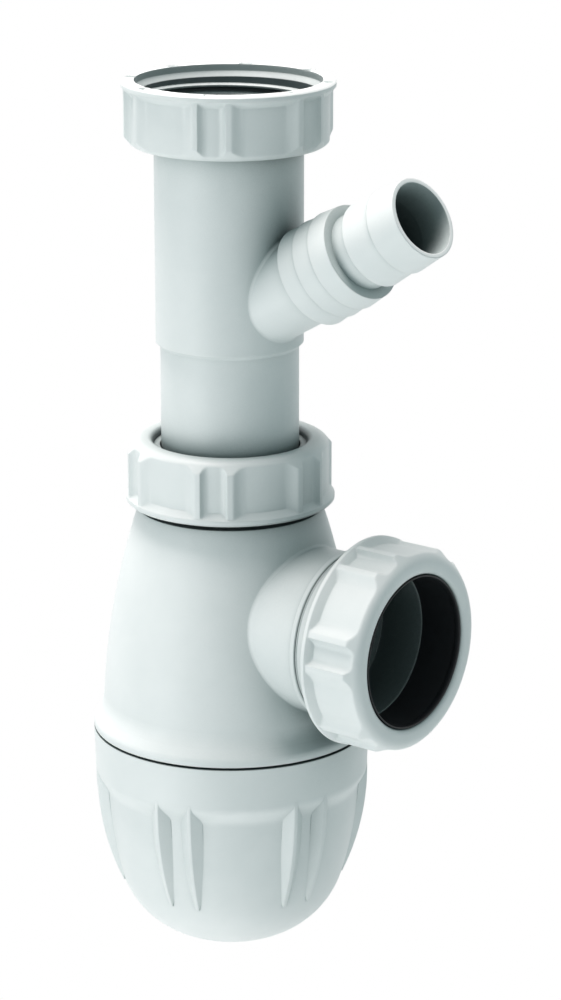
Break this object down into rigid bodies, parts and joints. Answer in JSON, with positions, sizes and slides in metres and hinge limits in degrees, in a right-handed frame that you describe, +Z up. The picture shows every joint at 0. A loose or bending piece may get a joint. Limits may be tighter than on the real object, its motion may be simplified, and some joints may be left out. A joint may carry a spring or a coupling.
{
  "type": "basin trap",
  "caption": "White plastic bottle trap with a union nut inlet, telescopic tube, barbed hose tail, bell body with side pipe outlet and a screw-on cleaning cup.",
  "frame": {"origin": "centre of the inlet seal face, where the waste's tail presses on the flat washer", "axes": "+Z up along the inlet, +X along the side outlet, Y completes the right-handed frame"},
  "size_m": [0.108, 0.0768, 0.2431],
  "materials": {
    "white_plastic": "satin moulded polypropylene",
    "black_rubber": "moulded rubber"
  },
  "bodies": {
    "inlet_tube": {"inlet_tube": "white_plastic", "inlet_washer": "black_rubber"},
    "inlet_nut": {"inlet_nut": "white_plastic"},
    "neck_seal": {"neck_seal": "black_rubber"},
    "trap_body": {"trap_body": "white_plastic"},
    "neck_slip_ring": {"neck_slip_ring": "white_plastic"},
    "neck_nut": {"neck_nut": "white_plastic"},
    "outlet_seal": {"outlet_seal": "black_rubber"},
    "outlet_nut": {"outlet_nut": "white_plastic"},
    "cup_seal": {"cup_seal": "black_rubber"},
    "cup": {"cup": "white_plastic"}
  },
  "joints": [
    {"name": "inlet_nut_spin", "type": "hinge", "parent": "inlet_tube", "child": "inlet_nut", "pos_m": [0, 0, 0], "axis": [0, 0, 1], "continuous": true},
    {"name": "height_slide", "type": "slide", "parent": "inlet_tube", "child": "neck_seal", "axis": [0, 0, 1], "range_m": [-0.03, 0.015]},
    {"name": "body_swivel", "type": "hinge", "parent": "neck_seal", "child": "trap_body", "pos_m": [0, 0, 0], "axis": [0, 0, 1], "continuous": true},
    {"name": "neck_nut_lift", "type": "slide", "parent": "trap_body", "child": "neck_slip_ring", "axis": [0, 0, 1], "range_m": [0, 0.0104]},
    {"name": "neck_nut_turn", "type": "hinge", "parent": "neck_slip_ring", "child": "neck_nut", "pos_m": [0, 0, 0], "axis": [0, 0, 1], "range_deg": [0, 1620]},
    {"name": "outlet_nut_out", "type": "slide", "parent": "trap_body", "child": "outlet_seal", "axis": [1, 0, 0], "range_m": [0, 0.0104]},
    {"name": "outlet_nut_turn", "type": "hinge", "parent": "outlet_seal", "child": "outlet_nut", "pos_m": [0, 0, -0.1371], "axis": [1, 0, 0], "range_deg": [0, 1620]},
    {"name": "cup_drop", "type": "slide", "parent": "trap_body", "child": "cup_seal", "axis": [0, 0, -1], "range_m": [0, 0.01601]},
    {"name": "cup_turn", "type": "hinge", "parent": "cup_seal", "child": "cup", "pos_m": [0, 0, 0], "axis": [0, 0, -1], "range_deg": [0, 1440]}
  ],
  "couplings": [
    {"joint": "neck_nut_lift", "follows": "neck_nut_turn", "m_per_rad": 0.00036749},
    {"joint": "outlet_nut_out", "follows": "outlet_nut_turn", "m_per_rad": 0.00036749},
    {"joint": "cup_drop", "follows": "cup_turn", "m_per_rad": 0.00063662}
  ]
}
